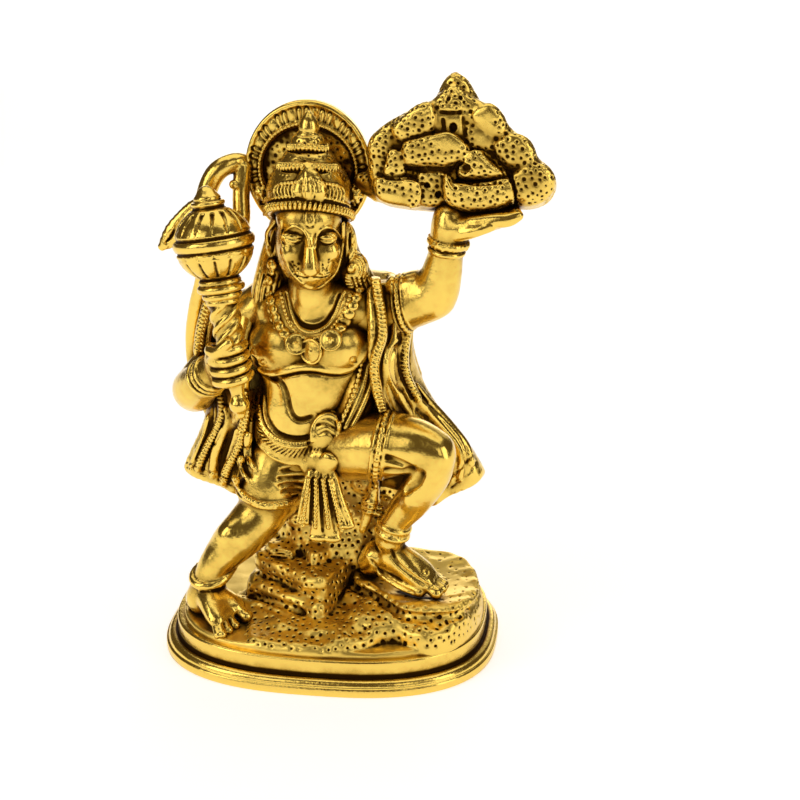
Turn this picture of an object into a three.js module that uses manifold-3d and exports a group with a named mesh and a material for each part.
// A brass figure of Hanuman, 165 mm high, cast in one piece with its rock and its oval plinth.
// He strides with one foot raised on the rock, holds a mace upright and lifts the mountain on his palm.
// Millimetres, +Z up, front towards -Y, origin in the middle of the plinth's underside.

import * as THREE from "three";
import { mergeVertices } from "three/addons/utils/BufferGeometryUtils.js";
import Module from "manifold-3d";

const wasm = await Module();
wasm.setup();

// Driving dimensions.
const HEIGHT = 165; // floor to the mountain's peak
const PLINTH_WIDTH = 97.4;
const PLINTH_DEPTH = 76.8;
const PLINTH_SQUARENESS = 2.6; // 2 is an ellipse, more is squarer
const FOOT_BAND = 2.6; // upright band at the floor
const SHOULDER_RISE = 2.4; // rounded moulding above the band
const SHOULDER_INSET = 3.4;
const STEP_RISE = 4.4; // upright step that carries the rock
const STEP_EDGE = 0.6; // softened top edge of the step
const ROCK_MARGIN = 2.2; // bare step left around the rock
const BRASS = { color: 0xc8962e, roughness: 0.32, metalness: 1 };

const TURN = Math.PI * 2;
const point = (x, y, z) => new THREE.Vector3(x, y, z);

// The figure is shaped in its own units above the plinth's top, and scaled so that its peak is at HEIGHT.
const PEAK = point(34.3, 3, 155.6);
const PLINTH_HEIGHT = FOOT_BAND + SHOULDER_RISE + STEP_RISE;
const UNIT = (HEIGHT - PLINTH_HEIGHT) / PEAK.z;
const WELD = 1.05; // edges shorter than this are joined up where solids meet
const SINK = 1.5; // how deep the rock is rooted in the plinth
const X_AXIS = point(1, 0, 0);
const Y_AXIS = point(0, 1, 0);
const Z_AXIS = point(0, 0, 1);
const ON_PLINTH = new THREE.Matrix4().makeScale(UNIT, UNIT, UNIT).setPosition(0, 0, PLINTH_HEIGHT);

// A closed geometry as a solid in its place, with repeated corners merged and its faces turned outwards.
function solid(geometry, place = ON_PLINTH) {
  const bare = geometry.index ? geometry.toNonIndexed() : geometry.clone();
  bare.applyMatrix4(place);
  for (const name of Object.keys(bare.attributes)) if (name !== "position") bare.deleteAttribute(name);
  const merged = mergeVertices(bare, 1e-4);
  const corners = merged.attributes.position.array;
  const faces = [];
  let volume = 0;
  for (let i = 0; i < merged.index.count; i += 3) {
    const [a, b, c] = [0, 1, 2].map((k) => merged.index.array[i + k]);
    if (a === b || b === c || a === c) continue;
    faces.push([a, b, c]);
    const [p, q, r] = [a, b, c].map((k) => point().fromArray(corners, 3 * k));
    volume += p.dot(q.cross(r));
  }
  const outward = volume < 0 ? faces.map(([a, b, c]) => [a, c, b]) : faces;
  const triVerts = new Uint32Array(outward.flat());
  const vertProperties = new Float32Array(corners);
  return new wasm.Manifold(new wasm.Mesh({ numProp: 3, vertProperties, triVerts, tolerance: WELD }));
}

// A closed skin over rings of equal length, with a fan at each end.
function skin(rings) {
  const sides = rings[0].length;
  const positions = [];
  const quad = (a, b, c, d) => positions.push(a, b, c, a, c, d);
  for (let i = 1; i < rings.length; i++) {
    for (let j = 0; j < sides; j++) {
      const k = (j + 1) % sides;
      quad(rings[i - 1][j], rings[i - 1][k], rings[i][k], rings[i][j]);
    }
  }
  const cap = (ring, flip) => {
    const middle = ring.reduce((sum, p) => sum.add(p), point(0, 0, 0)).divideScalar(sides);
    for (let j = 0; j < sides; j++) {
      const [a, b] = flip ? [ring[(j + 1) % sides], ring[j]] : [ring[j], ring[(j + 1) % sides]];
      positions.push(middle, b, a);
    }
  };
  cap(rings[0], false);
  cap(rings[rings.length - 1], true);
  return new THREE.BufferGeometry().setFromPoints(positions);
}

// A smooth open curve through [x, y, z] places.
function through(places) {
  return new THREE.CatmullRomCurve3(places.map(([x, y, z]) => point(x, y, z)), false, "centripetal");
}

// A rounded limb through stations [x, y, z, side radius, depth radius], with depth along one direction.
function limb(stations, { sides = 10, steps = 8, depth = Y_AXIS } = {}) {
  const path = through(stations);
  const radii = through(stations.map((s) => [s[3], s[4] ?? s[3], 0]));
  const ringAt = (t, shrink, along) => {
    const tangent = path.getTangent(t);
    const side = point().crossVectors(tangent, depth).normalize();
    const front = point().crossVectors(side, tangent).normalize();
    const [a, b] = [Math.max(radii.getPoint(t).x, 0.05), Math.max(radii.getPoint(t).y, 0.05)];
    const centre = path.getPoint(t).addScaledVector(tangent, along * Math.min(a, b));
    return Array.from({ length: sides }, (_, j) => {
      const angle = (TURN * j) / sides;
      return centre
        .clone()
        .addScaledVector(side, Math.cos(angle) * a * shrink)
        .addScaledVector(front, Math.sin(angle) * b * shrink);
    });
  };
  const rings = [ringAt(0, 0.62, -0.75)];
  for (let i = 0; i <= steps; i++) rings.push(ringAt(i / steps, 1, 0));
  rings.push(ringAt(1, 0.62, 0.75));
  return solid(skin(rings));
}

// An egg-shaped lump, turned by Euler angles in radians.
function lump([x, y, z], [a, b, c], { turn = [0, 0, 0], around = 10, down = 7 } = {}) {
  const egg = new THREE.SphereGeometry(1, around, down).rotateX(Math.PI / 2);
  const place = new THREE.Matrix4().compose(
    point(x, y, z),
    new THREE.Quaternion().setFromEuler(new THREE.Euler(...turn)),
    point(a, b, c),
  );
  return solid(egg.applyMatrix4(place));
}

// A turned form from an outline of [radius, height], with its axis at the origin along +Z.
function turned(outline, segments) {
  const closed = [[0, outline[0][1]], ...outline, [0, outline[outline.length - 1][1]]];
  const profile = closed.map(([radius, height]) => new THREE.Vector2(radius, height));
  return new THREE.LatheGeometry(profile, segments).rotateX(Math.PI / 2);
}

// A band round a limb: a ring of two radii, with a thickness and half a width, tilted across the limb.
function band([x, y, z], [a, b], [thick, wide], axis = Z_AXIS, { around = 8, section = 3 } = {}) {
  const ring = new THREE.TorusGeometry(1, 1, section, around);
  const corners = ring.attributes.position;
  for (let i = 0; i < corners.count; i++) {
    const angle = Math.atan2(corners.getY(i), corners.getX(i));
    const out = Math.hypot(corners.getX(i), corners.getY(i)) - 1;
    const reach = out * thick;
    corners.setXYZ(i, Math.cos(angle) * (a + reach), Math.sin(angle) * (b + reach), corners.getZ(i) * wide);
  }
  const tilt = new THREE.Quaternion().setFromUnitVectors(Z_AXIS, axis.clone().normalize());
  return solid(ring.applyMatrix4(new THREE.Matrix4().compose(point(x, y, z), tilt, point(1, 1, 1))));
}

// One point of the squarish oval that the plinth is drawn on.
function ovalPoint(angle, halfWidth, halfDepth, z, squareness = PLINTH_SQUARENESS) {
  const [c, s] = [Math.cos(angle), Math.sin(angle)];
  const share = 2 / squareness;
  return point(
    halfWidth * Math.sign(c) * Math.abs(c) ** share,
    halfDepth * Math.sign(s) * Math.abs(s) ** share,
    z,
  );
}

function plinth() {
  const segments = 36;
  const shoulderTop = FOOT_BAND + SHOULDER_RISE;
  // Inset from the plinth's outline, and height.
  const moulding = [
    [0, 0],
    [0, FOOT_BAND],
    [SHOULDER_INSET * 0.12, FOOT_BAND + SHOULDER_RISE * 0.5],
    [SHOULDER_INSET * 0.5, FOOT_BAND + SHOULDER_RISE * 0.9],
    [SHOULDER_INSET, shoulderTop],
    [SHOULDER_INSET, PLINTH_HEIGHT - STEP_EDGE],
    [SHOULDER_INSET + STEP_EDGE, PLINTH_HEIGHT],
  ];
  const rings = moulding.map(([inset, z]) =>
    Array.from({ length: segments }, (_, i) =>
      ovalPoint((TURN * (i + 0.5)) / segments, PLINTH_WIDTH / 2 - inset, PLINTH_DEPTH / 2 - inset, z),
    ),
  );
  return solid(skin(rings), new THREE.Matrix4());
}

// A ledge of rock: a flat-topped slab over a closed outline, drawn in by its slope towards the top.
function ledge(outline, bottom, top, slope = 1.5) {
  const sum = outline.reduce((total, [x, y]) => total.add(point(x, y, 0)), point(0, 0, 0));
  const middle = sum.divideScalar(outline.length);
  const ringAt = (z, inset) =>
    outline.map(([x, y]) => {
      const p = point(x, y, 0);
      const inward = middle.clone().sub(p).setLength(inset);
      return p.add(inward).setZ(z);
    });
  return solid(skin([ringAt(bottom, 0), ringAt(top - slope, slope * 0.35), ringAt(top, slope * 1.3)]));
}

function rock() {
  // The lowest layer follows the plinth's oval, inside the bare margin; the rest is in the figure's units.
  const rim = SHOULDER_INSET + ROCK_MARGIN;
  const [wide, deep] = [(PLINTH_WIDTH / 2 - rim) / UNIT, (PLINTH_DEPTH / 2 - rim) / UNIT];
  const corners = 12;
  const spread = Array.from({ length: corners }, (_, i) => {
    const p = ovalPoint((TURN * i) / corners, wide, deep, 0);
    return [p.x, p.y];
  });
  return [
    ledge(spread, -SINK, 1.6, 0.9),
    // The low lobe in front, with a slanting upper edge on the left.
    ledge([[-20, -29], [-10, -32.4], [6, -33], [9, -22], [-2, -14], [-26, -4], [-28, -11], [-22, -20]],
      -SINK, 4.8, 3.4),
    // The draped face on the right, with a notch in its lower edge.
    ledge([[5, -34], [11, -33], [16, -29.6], [19.4, -24], [22.4, -23], [26, -27], [32, -28], [41.5, -19],
      [44.6, -4], [42, 8], [20, 14], [6, 6], [3, -14]], -SINK, 9.6, 5.4),
    // The ledge under the raised foot.
    ledge([[7, -8], [13, -14], [20, -21], [27, -23.6], [35, -22], [42, -16.6], [43.6, -4], [41, 6], [36, 14],
      [26, 18], [8, 18]], 0, 11.6, 1.2),
    // The stepped block in the middle, three worn layers high.
    ledge([[-23.6, -8], [-13, -16.4], [-4.4, -21.4], [0.4, -22.8], [4.6, -20.6], [6.6, -12], [10, 8],
      [0, 20], [-15, 17], [-23, 4]], 0, 9.6, 2.6),
    ledge([[-21.4, -5.6], [-10.4, -13], [-3.4, -17], [1, -16.2], [4.6, -7], [12, 8], [0, 19], [-14, 15],
      [-21, 4]],
      0, 16.4, 2.4),
    ledge([[-20, -6], [-11, -8.8], [-4, -10.8], [3, -6], [9, -1.4], [13, 9], [0, 18],
      [-14, 14]], 0, 21.4, 2.8),
    // The stem that carries the hips from behind.
    limb([[0, 5.4, 17, 17, 9.6], [2, 7, 26, 16, 8], [2.6, 8.4, 36, 15.4, 7], [0, 6, 48, 13, 7]],
      { sides: 8, steps: 2 }),
  ];
}

function standingLeg() {
  return [
    limb([[-12.5, 0.5, 48, 9, 8.4], [-17, -3.6, 37, 9.2, 8.8], [-18.8, -5.4, 32, 7.4, 7.4],
      [-25, -9.6, 24.4, 6.4, 6.4], [-28.6, -11, 20.8, 5.7, 5.8], [-32.2, -12.4, 16, 4.7, 4.9],
      [-35, -12.6, 9, 5, 5.2]], { sides: 8, steps: 6 }),
    // The foot, from its heel to the ball.
    limb([[-37, -9.5, 4.6, 4.8, 4], [-35, -14.5, 6.4, 5.2, 4.6], [-30.8, -21, 4.8, 5.5, 3.3],
      [-27, -26.4, 3.4, 5.8, 2.4]], { sides: 7, depth: Z_AXIS, steps: 3 }),
    toes([-26.6, -27.2, 3.2], [0.42, -0.9], [0.9, 0.42], 2.3),
    band([-33, -12.6, 13.5], [5.2, 5.4], [1.2, 1.7], point(-0.07, -0.36, 1)),
    band([-18.4, -3.6, 34.4], [9.6, 9.2], [1.1, 1.1], point(-0.38, -0.4, 1)),
  ];
}

// Five toes side by side before a foot's ball, from the smallest to the biggest, as one scalloped slab.
function toes([x, y, z], [forwardX, forwardY], [acrossX, acrossY], pitch) {
  const place = (across, forward) => [
    x + acrossX * across + forwardX * forward,
    y + acrossY * across + forwardY * forward,
  ];
  const scallops = Array.from({ length: 5 }, (_, i) => {
    const reach = 2.6 + 0.7 * i - 0.1 * i * i;
    const across = (i - 2) * pitch;
    const tip = [-0.28, 0.28].map((share) => place(across + pitch * share, reach));
    return [...tip, place(across + pitch * 0.5, reach - 1.6)];
  });
  const edge = 2.5 * pitch;
  const outline = [place(-edge, -3), place(-edge, 1), ...scallops.flat(), place(edge, -3)];
  return ledge(outline, z - 2.2, z + 1.6, 1.5);
}

function raisedLeg() {
  return [
    limb([[-5, 0, 48, 9, 8.4], [4, -3, 50.8, 9.4, 9], [15, -8, 54, 9.3, 9], [22, -10.8, 55.6, 8.3, 8.1],
      [31.2, -13.4, 55, 6.2, 6.4]], { sides: 8, steps: 5, depth: Z_AXIS }),
    limb([[31.4, -13.4, 54.8, 5.9, 6.2], [28.4, -11.9, 45, 5.5, 6], [24.6, -10.6, 38.5, 4.9, 5.4],
      [20.2, -9, 32, 4.3, 4.8], [18.4, -8.8, 27, 4.4, 5]], { sides: 8, steps: 5 }),
    limb([[13.6, -5, 18, 3.8, 3.6], [17.6, -8.4, 21.4, 4.6, 5.2], [23.8, -12, 19.6, 4.6, 4],
      [30, -16, 15.2, 4.4, 2.8]],
      { sides: 7, depth: Z_AXIS, steps: 3 }),
    toes([30.6, -16.2, 13.8], [0.86, -0.5], [0.5, 0.86], 1.9),
    band([18.9, -8.8, 29.4], [4.8, 5.2], [1.2, 1.9], point(0.28, 0, 1)),
    band([16.2, -8, 54.4], [9.3, 9.1], [1, 2], point(1, 0, -0.157)),
  ];
}

function torso() {
  return [
    limb([[-9, 1, 32, 8, 6], [-9.4, 1, 40, 12.4, 9], [-9, 0, 50.5, 13.2, 9.6], [-7.9, 0, 60.4, 12, 9],
      [-6.3, 0.4, 67.4, 13, 9.4], [-5.2, 0.2, 76, 16.6, 10], [-5, 0.6, 84, 17.2, 9.4],
      [-5, 1.6, 90, 14.6, 7.8],
      [-4.8, 0, 94, 8, 6]], { sides: 12, steps: 7 }),
    lump([-13.2, -4.6, 79.6], [10, 6, 8.4], { turn: [0.1, 0, 0.24], around: 8, down: 6 }),
    lump([3.4, -4.6, 80], [10, 6, 8.4], { turn: [0.1, 0, -0.24], around: 8, down: 6 }),
    lump([-8, -4.4, 59], [8.6, 5.4, 10], { around: 7, down: 4 }),
    limb([[-4.7, -0.5, 90, 6.2], [-4, -3.5, 101, 5.4]], { sides: 8, steps: 1 }),
  ];
}

// A string of beads on a hanging curve between two points of the neck, from the given bead sizes.
function garland(left, low, right, sizes) {
  const curve = through([left, low, right]);
  return sizes.map((size, i) => {
    const p = curve.getPoint(i / (sizes.length - 1));
    return lump([p.x, p.y, p.z], [size, size, size], { around: 5, down: 4 });
  });
}

function jewels() {
  const bigBeads = [1.7, 2, 2.6, 3.1, 2.6, 2, 1.7];
  const collar = limb([[-12, -5, 92, 1], [-9.4, -8.8, 87, 1], [-4.4, -10.4, 85, 1], [0.8, -8.8, 87.2, 1],
    [3.2, -5, 92.2, 1]], { sides: 4, steps: 5 });
  return [collar, ...garland([-14.6, -6.4, 88], [-4.4, -11.6, 77], [5.6, -6.4, 88.4], bigBeads)];
}

function head() {
  return [
    lump([-4.2, -4.6, 109], [8.8, 8.6, 10.4], { around: 10, down: 7 }),
    // The long upper lip and chin stand forward, as on a monkey's face.
    lump([-3.6, -10.2, 103], [5.2, 4.4, 4.4], { around: 8, down: 5 }),
    limb([[-3.8, -12.6, 112.6, 1.1], [-3.6, -14, 108.6, 1.3],
      [-3.5, -15.2, 105.4, 1.7, 1.4]], { sides: 5, steps: 2 }),
    // The hair behind the ears, falling to both shoulders.
    lump([-5, 0.6, 107], [12.2, 6.4, 12.4], { around: 8, down: 5 }),
    limb([[5.6, 0.6, 112, 2.6, 3.4], [8, 0.4, 105, 3.8, 4],
      [12.4, 0.6, 97, 4.6, 4]], { sides: 6, steps: 2 }),
    limb([[-15.4, 0.4, 108, 3, 3.4], [-17, 0.6, 99, 4, 4], [-19, 1.4, 92, 4.4, 4]], { sides: 6, steps: 2 }),
    // The ears.
    lump([-17, -2, 110], [2.2, 2.6, 5], { turn: [0, -0.4, 0.5], around: 6, down: 4 }),
    lump([7.8, -2, 110.6], [1.8, 2.6, 4.8], { turn: [0, 0.3, -0.5], around: 6, down: 4 }),
  ];
}

function crown() {
  const outline = [[12.8, 0], [12.8, 2.8], [11.8, 3.4], [11.4, 7], [8.3, 12.4], [9, 13.4], [6.2, 16.8],
    [5, 17.4], [5.7, 18.4], [1.6, 22], [2.6, 24], [0.4, 27.4]];
  const tiers = solid(turned(outline, 12).translate(-4.2, -3.4, 118.2));
  const leaf = lump([-4, -14, 126], [3.6, 1.8, 5.8], { around: 6, down: 6 });
  return [tiers, leaf];
}

// The halo: an upright disc with a raised rim cut by radial flutes.
function halo() {
  const [width, height, thickness] = [17.3, 18.8, 2.6];
  const flutes = 18;
  const around = flutes * 2;
  // Share of the radius, and height of the front face.
  const outline = [[0.7, 0.3], [0.77, 1.3], [0.94, 1.1], [1, 0.4]];
  const ringAt = (share, y, fluted) =>
    Array.from({ length: around }, (_, i) => {
      const angle = (TURN * i) / around;
      const cut = fluted && i % 2 ? 0.8 : 0;
      return point(Math.cos(angle) * width * share, -(y - cut), Math.sin(angle) * height * share);
    });
  const rings = [
    ringAt(0.96, -thickness / 2, false),
    ...outline.reverse().map(([share, y]) => ringAt(share, y, share > 0.72 && share < 0.95)),
  ];
  return [solid(skin(rings).translate(-6, 6, 128.6))];
}

function raisedArm() {
  const finger = (shift, length) =>
    limb([[40, -4.6 + shift, 118.1, 1.6], [46, -5 + shift, 119.3, 1.6],
      [43.6 + length, -5.2 + shift, 120.6, 1.3]], { sides: 4, steps: 1 });
  return [
    limb([[12, 2, 90, 8.2, 7.6], [19, 1.6, 92, 7.3, 7], [25, 0, 94, 6.5, 6.2], [29, -1.6, 96, 6, 5.8],
      [31.6, -2.8, 101.6, 4.5, 4.8], [32.8, -3.7, 108.4, 3.9, 4.1],
      [33.9, -4.2, 116.2, 4.3, 4.6]], { sides: 8, steps: 6 }),
    limb([[33.6, -4.4, 116, 3.6, 5], [40, -4.8, 117.6, 2.9, 5.6],
      [45.4, -5, 118.9, 2.4, 5.4]], { sides: 6, steps: 2 }),
    ...[-3.7, -1.25, 1.2, 3.6].map((shift, i) => finger(shift, 8.6 - 0.8 * Math.abs(i - 1))),
    limb([[35.6, -7.4, 114.8, 1.9], [40, -9.8, 116.4, 1.6], [45, -10.2, 118.2, 1.2]], { sides: 4, steps: 2 }),
    band([33.4, -3.9, 111], [4.5, 4.5], [1.1, 2.2], point(0.2, -0.1, 1)),
    band([21.4, 1, 92.2], [6.8, 6.8], [1, 1.2], point(1, -0.2, 0.3)),
  ];
}

function maceArm() {
  const wraps = Array.from({ length: 4 }, (_, i) => {
    const z = 74.6 + 2.9 * i;
    const lean = 0.16 * (z - 78); // the shaft leans, so the fingers step sideways with it
    const x = -24.4 - lean;
    return limb([[x - 4.8, -14, z - 0.9, 1.35], [x - 3.6, -18.6, z - 0.4, 1.35],
      [x + 0.6, -20.4, z + 0.3, 1.35], [x + 4, -18.2, z + 0.9, 1.3], [x + 4.4, -14.6, z + 1, 1.2]],
      { sides: 4, steps: 3, depth: Z_AXIS });
  });
  return [
    limb([[-20, 3, 90, 7, 6.8], [-26, 4.4, 82, 6.4, 6.2], [-32.6, 4.4, 73, 6, 6],
      [-39, 1.4, 65.4, 6.4, 6.4]],
      { sides: 8, steps: 3 }),
    limb([[-40, 0.6, 64.4, 6, 6.2], [-36.4, -6, 67.6, 5.8, 5.6], [-31.6, -11.6, 72.4, 4.6, 4.6],
      [-28, -14.4, 76, 4.2, 4.4]], { sides: 7, steps: 3, depth: Z_AXIS }),
    lump([-27, -14.6, 78.6], [4.4, 4.6, 6.4], { around: 7, down: 4 }),
    ...wraps,
  ];
}

function mace() {
  const shaft = [[2.6, 0.6], [2.9, 2.6], [2.3, 4.6], [3.3, 9], [3.9, 31], [5.2, 32.2],
    [4.6, 33.4], [6.8, 34.6], [6.4, 36]];
  const cap = [[5.8, 55], [5.8, 56.6], [4.6, 57.4], [3.6, 59.6], [1.4, 60.8], [0.6, 62]];
  const [ball, ballZ, ballHeight] = [10.9, 46, 10.4];
  const globe = [-0.7, -0.45, -0.15, 0.15, 0.45, 0.72].map((turn) => [
    ball * Math.cos((Math.PI / 2) * turn),
    ballZ + ballHeight * Math.sin((Math.PI / 2) * turn),
  ]);
  const geometry = turned([...shaft, ...globe, ...cap], 10);
  const lean = new THREE.Quaternion().setFromEuler(new THREE.Euler(-0.12, -0.15, 0));
  const stand = new THREE.Matrix4().compose(point(-21.6, -18.4, 66.4), lean, point(1, 1, 1));
  return [solid(geometry.applyMatrix4(stand))];
}

// The cloak: folds fanned between guide lines from the shoulders to the hem, right front edge first.
const CLOAK_GUIDES = [
  [[13.4, -4.6, 97], [14.2, -8.4, 88], [14.6, -8.4, 78], [15.6, -6.4, 67], [20, -2, 57], [25, 3, 45],
    [28, 6, 32.6]],
  [[18.6, 1, 97.5], [20.2, 2, 88], [19.6, 3, 78], [21.6, 5, 68], [27.8, 7, 57], [36.6, 8.6, 47],
    [41, 9.4, 39.6]],
  [[15, 9, 97], [18.4, 11.5, 88], [18.6, 13, 77], [21, 14.4, 67], [26, 15.6, 56], [32, 16.4, 46],
    [36, 16.6, 38]],
  [[-4, 11.5, 97], [-4, 13.6, 88], [-4, 14.6, 76], [-4, 16.4, 66], [-4, 18.4, 54], [-4, 19.4, 44],
    [-4, 19, 36]],
  [[-21, 9, 93], [-27, 11, 87], [-29, 12.4, 76], [-28, 13.6, 66], [-29, 14.4, 55], [-32, 14.6, 45],
    [-33, 14, 38]],
  [[-27, 2, 90], [-33.4, 3, 83], [-34, 4, 74], [-34.2, 5, 64], [-37, 6, 53], [-41.6, 6, 43],
    [-43.6, 6, 38.6]],
  [[-22, -1, 88], [-23.4, -5, 80], [-23.6, -6, 70], [-23.8, -5.4, 60], [-24.6, -4, 50], [-26.6, -2.6, 42],
    [-27.6, -1, 36]],
];

function cloak() {
  const rows = 4;
  const folds = 8;
  const columns = 3 * folds; // three faces to a fold
  const ridge = 2.2;
  const thickness = 4.2;
  const guides = CLOAK_GUIDES.map(through);
  const spine = (t) => point(-5, 3, 0).lerp(point(-7, 8, 0), t);
  const sheet = (t, inset) => {
    const across = through(guides.map((guide) => guide.getPoint(t)));
    return Array.from({ length: columns + 1 }, (_, i) => {
      const s = i / columns;
      const p = across.getPoint(s);
      const outward = point(p.x, p.y, 0).sub(spine(t)).normalize();
      const fold = inset ? 0 : ridge * (0.5 + 0.5 * t) * Math.cos(TURN * folds * s);
      return p.addScaledVector(outward, fold - inset);
    });
  };
  const rings = Array.from({ length: rows + 1 }, (_, r) => {
    const t = r / rows;
    return [...sheet(t, 0), ...sheet(t, thickness).reverse()];
  });
  return [solid(sheetSkin(rings, columns + 1))];
}

// A skin over rings that run out along one face of a sheet and back along the other, with a strip at each end.
function sheetSkin(rings, width) {
  const positions = [];
  const quad = (a, b, c, d) => positions.push(a, b, c, a, c, d);
  for (let i = 1; i < rings.length; i++) {
    for (let j = 0; j < 2 * width; j++) {
      const k = (j + 1) % (2 * width);
      quad(rings[i - 1][j], rings[i - 1][k], rings[i][k], rings[i][j]);
    }
  }
  const strip = (ring, flip) => {
    for (let j = 0; j < width - 1; j++) {
      const corners = [ring[j], ring[2 * width - 1 - j], ring[2 * width - 2 - j], ring[j + 1]];
      quad(...(flip ? corners.reverse() : corners));
    }
  };
  strip(rings[0], false);
  strip(rings[rings.length - 1], true);
  return new THREE.BufferGeometry().setFromPoints(positions);
}

function sashAndBelt() {
  const pleat = (i) => {
    const spread = (i - 1.5) / 1.5;
    return limb([[0.2 + 1.6 * spread, -10.6, 48.6, 1.3, 1.6], [-0.2 + 4.2 * spread, -13.4, 38.6, 2, 2],
      [-0.8 + 6.6 * spread, -14.4, 29.6, 2.6, 2.2]], { sides: 5, steps: 2 });
  };
  return [
    ...[0, 1, 2, 3].map(pleat),
    lump([-2.4, -13.6, 27], [5, 1.8, 4.4], { around: 8, down: 5 }),
    // The belt dips to the front, and its knot sits under the navel.
    limb([[-21.4, -3, 58.6, 1.6], [-18.6, -8, 54.6, 2.2, 1.8], [-11, -12, 51.6, 2.8, 2],
      [-2, -13, 52.4, 3, 2], [5.4, -9.6, 58, 2.2, 1.8], [7, -4, 62.6, 1.6]], { sides: 5, steps: 6 }),
    limb([[-3, -13, 52.8, 1.4], [-2.4, -13.6, 59, 1.3], [1.6, -13.8, 63.4, 1.3], [5.2, -12.6, 59.6, 1.3],
      [2.4, -13.2, 53.4, 1.6]], { sides: 4, steps: 5 }),
    lump([0, -13, 50.2], [4, 2.2, 3.8], { around: 6, down: 4 }),
  ];
}

function tail() {
  return [
    limb([[-12, 12, 36, 2.6], [-26, 14, 42, 2.6], [-37, 12, 54, 2.6], [-41, 10, 67, 2.6], [-41, 8, 78, 2.4],
      [-39, 6, 88, 2.3], [-36, 4, 98, 2.3], [-34.8, 2, 110, 2.3], [-34, 1.2, 121, 2.3], [-30.6, 2, 128, 2.4],
      [-25.4, 4, 130.4, 2.5], [-20, 6, 128.6, 2.5]], { sides: 5, steps: 12, depth: point(0.2, 1, 0.1) }),
    limb([[-24, 4, 129, 2.3], [-24.4, 2.6, 121.6, 2.3], [-24.2, 0, 114, 2.4], [-27.4, -2, 107, 2.6]],
      { sides: 5, steps: 3 }),
    // The tuft spreads past the mace's globe to a point.
    limb([[-30, -2, 118.6, 3.6, 2.2], [-37, -2, 115.4, 4.6, 2], [-42, -2.6, 111, 3.4, 1.6],
      [-46.8, -3, 106.8, 0.7, 0.7]], { sides: 6, steps: 3 }),
  ];
}

function mountain() {
  const rounded = { around: 7, down: 4 };
  return [
    // The peak with its shrine-like face.
    limb([[34.6, 1, 128, 8, 7], [34.6, 1.6, 140, 7, 7], [34.4, 2.4, 147, 5.8, 6],
      [PEAK.x, PEAK.y, 152, 3, 3.4], [PEAK.x, PEAK.y, PEAK.z - 0.6, 0.7, 0.7]], { sides: 7, steps: 4 }),
    limb([[35, -4.4, 135, 3, 2.4], [35, -4, 144, 2.6, 2.4]], { sides: 4, steps: 1 }),
    lump([25, 2, 139.4], [9.4, 6.4, 6.4], { turn: [0, -0.5, 0], ...rounded }),
    lump([15.8, 1.6, 137.2], [4, 4.4, 3.8], rounded),
    lump([17.8, -3.6, 131.6], [4, 3.4, 3.8], rounded),
    lump([12.6, 3.6, 128.6], [5, 5, 5.2], rounded),
    lump([18.4, -3, 124.6], [8, 5.4, 3.8], { turn: [0, 0.25, 0], ...rounded }),
    lump([43.2, 2, 142.4], [5.4, 5.6, 5.4], rounded),
    lump([49.6, 2.4, 135.4], [6.6, 6, 6.2], rounded),
    lump([53.6, 2, 127.2], [8.2, 6.4, 5.8], { turn: [0, -0.15, 0], ...rounded }),
    lump([41.6, -5.6, 128.6], [9.2, 5.4, 4.8], { turn: [0, 0.2, 0], ...rounded }),
    lump([34, 0, 128.4], [18.4, 8.4, 9.4], { around: 10, down: 4 }),
  ];
}

// The cast is one solid: the plinth, the rock and the figure, joined.
const forms = [rock, standingLeg, raisedLeg, torso, jewels, head, crown, halo, raisedArm, maceArm, mace,
  cloak, sashAndBelt, tail, mountain];
const cast = wasm.Manifold.union([plinth(), ...forms.flatMap((form) => form())]);

// The body's outer skin: pockets closed off between its lumps are filled, as they are in a casting.
function geometryOf(body) {
  const { vertProperties, triVerts, numProp } = body.getMesh();
  const corner = (i) => point().fromArray(vertProperties, numProp * i);
  const owner = Array.from({ length: vertProperties.length / numProp }, (_, i) => i);
  const find = (i) => {
    while (owner[i] !== i) i = owner[i] = owner[owner[i]];
    return i;
  };
  const faces = [];
  for (let i = 0; i < triVerts.length; i += 3) {
    const face = [triVerts[i], triVerts[i + 1], triVerts[i + 2]];
    faces.push(face);
    owner[find(face[1])] = find(face[0]);
    owner[find(face[2])] = find(face[0]);
  }
  const volumes = new Map();
  for (const [a, b, c] of faces) {
    const share = corner(a).dot(corner(b).cross(corner(c)));
    volumes.set(find(a), (volumes.get(find(a)) ?? 0) + share);
  }
  const [outer] = [...volumes].reduce((best, next) => (next[1] > best[1] ? next : best));
  const skinFaces = faces.filter(([a]) => find(a) === outer);
  const used = [...new Set(skinFaces.flat())];
  const place = new Map(used.map((i, k) => [i, k]));
  const geometry = new THREE.BufferGeometry().setFromPoints(used.map(corner));
  geometry.setIndex(skinFaces.flat().map((i) => place.get(i)));
  return geometry;
}

const hanuman = new THREE.Mesh(geometryOf(cast), new THREE.MeshStandardMaterial(BRASS));
hanuman.name = "hanuman_figure";
hanuman.geometry.computeVertexNormals();

const group = new THREE.Group();
group.add(hanuman);

export default group;
